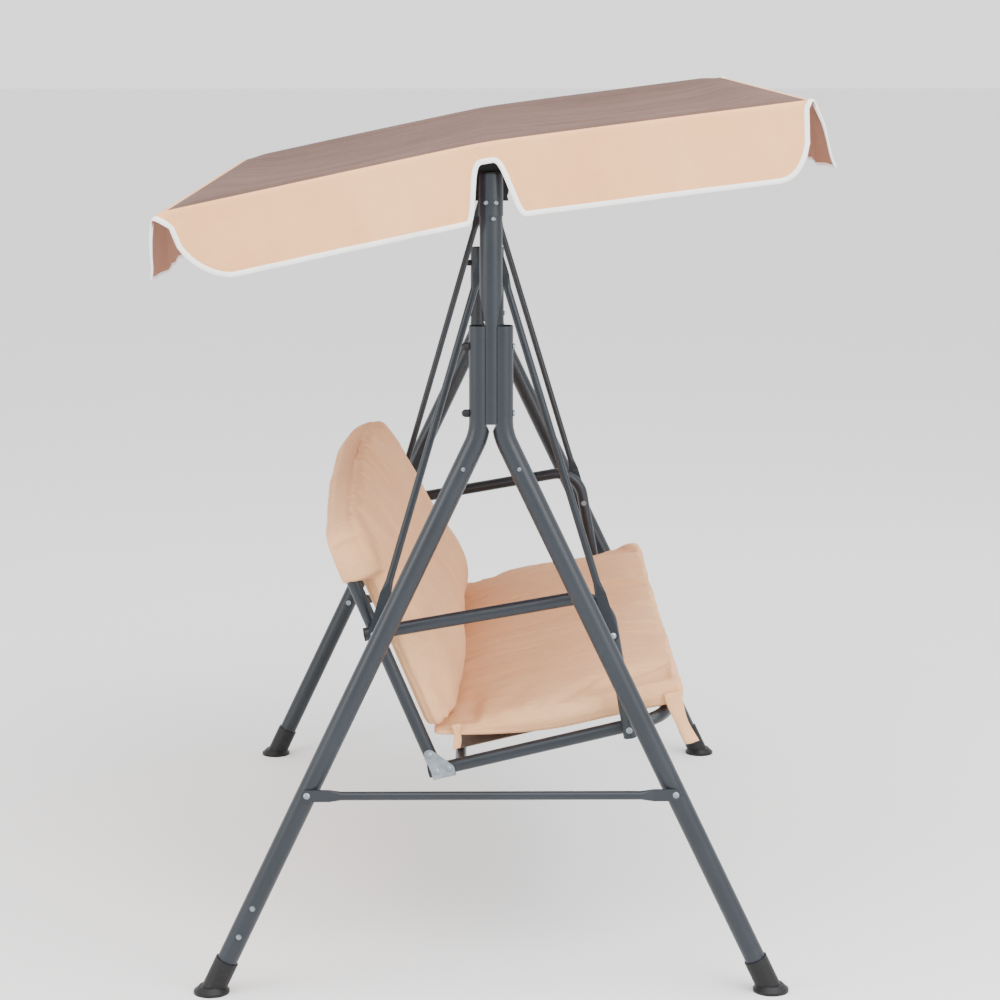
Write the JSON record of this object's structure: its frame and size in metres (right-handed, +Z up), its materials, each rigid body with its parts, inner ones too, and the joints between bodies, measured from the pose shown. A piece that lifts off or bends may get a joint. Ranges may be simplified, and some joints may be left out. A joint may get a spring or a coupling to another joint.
{
  "type": "glider swing",
  "caption": "Canopy swing with bent-tube end frames, a cushioned bench hung on sprung links from a top beam, and a tilting fabric canopy.",
  "frame": {"origin": "on the floor, under the centre of the overall box", "axes": "+X along the top beam, towards the left of a person on the seat; -Y the way the seat faces; +Z up"},
  "size_m": [1.687, 1.2085, 1.6277],
  "materials": {
    "tube": "satin powder coat",
    "zinc": "zinc plated",
    "black_metal": "satin",
    "black_plastic": "moulded",
    "cushion_cloth": "plain weave",
    "sling_cloth": "coated mesh",
    "roof_cloth": "plain weave",
    "valance_cloth": "plain weave"
  },
  "bodies": {
    "frame": {"leg_front_right": "tube", "leg_rear_right": "tube", "leg_front_left": "tube", "leg_rear_left": "tube", "post_right": "tube", "post_left": "tube", "post_sleeves": "tube", "post_caps": "black_plastic", "top_beam": "tube", "brace_right": "tube", "brace_left": "tube", "feet": "black_plastic", "leg_bolts": "zinc", "leg_cap_nuts": "black_plastic", "brace_bolts": "zinc", "rear_leg_bolts": "zinc", "leg_rivets": "zinc", "sleeve_bolts": "zinc", "hanger_brackets": "tube", "hanger_pins": "zinc", "canopy_bracket_right": "black_metal", "canopy_bracket_left": "black_metal"},
    "hanger": {"upper_hooks": "zinc", "springs": "zinc"},
    "seat": {"lower_hooks": "zinc", "link_bolts": "zinc", "rear_link_right": "tube", "rear_link_left": "tube", "front_link_right": "tube", "front_link_left": "tube", "arm_right": "tube", "arm_left": "tube", "seat_frame": "tube", "back_frame": "tube", "rear_rail": "tube", "corner_bracket_right": "zinc", "corner_bracket_left": "zinc", "corner_bolts": "zinc", "arm_bolts": "zinc", "tube_plugs": "black_plastic", "seat_sling": "sling_cloth", "seat_cushion": "cushion_cloth", "back_cushion": "cushion_cloth", "corner_ties": "cushion_cloth"},
    "canopy": {"canopy_hub_right": "tube", "canopy_hub_left": "tube", "canopy_arm_front_right": "tube", "canopy_arm_front_left": "tube", "canopy_arm_rear_right": "tube", "canopy_arm_rear_left": "tube", "canopy_front_rail": "tube", "canopy_rear_rail": "tube", "canopy_bolts": "zinc", "canopy_roof": "roof_cloth", "valance_front": "valance_cloth", "valance_rear": "valance_cloth", "valance_right": "valance_cloth", "valance_left": "valance_cloth"}
  },
  "joints": [
    {"name": "seat_swing", "type": "hinge", "parent": "frame", "child": "hanger", "pos_m": [0, 0, 1.448], "axis": [1, 0, 0], "range_deg": [-20, 25]},
    {"name": "seat_bounce", "type": "slide", "parent": "hanger", "child": "seat", "axis": [0, 0, 1], "range_m": [-0.03, 0], "stiffness_N_per_m": 20000, "springref_m": 0.02, "deforming": ["springs"]},
    {"name": "canopy_tilt", "type": "hinge", "parent": "frame", "child": "canopy", "pos_m": [0, 0, 1.478], "axis": [1, 0, 0], "range_deg": [-17, 17]}
  ]
}
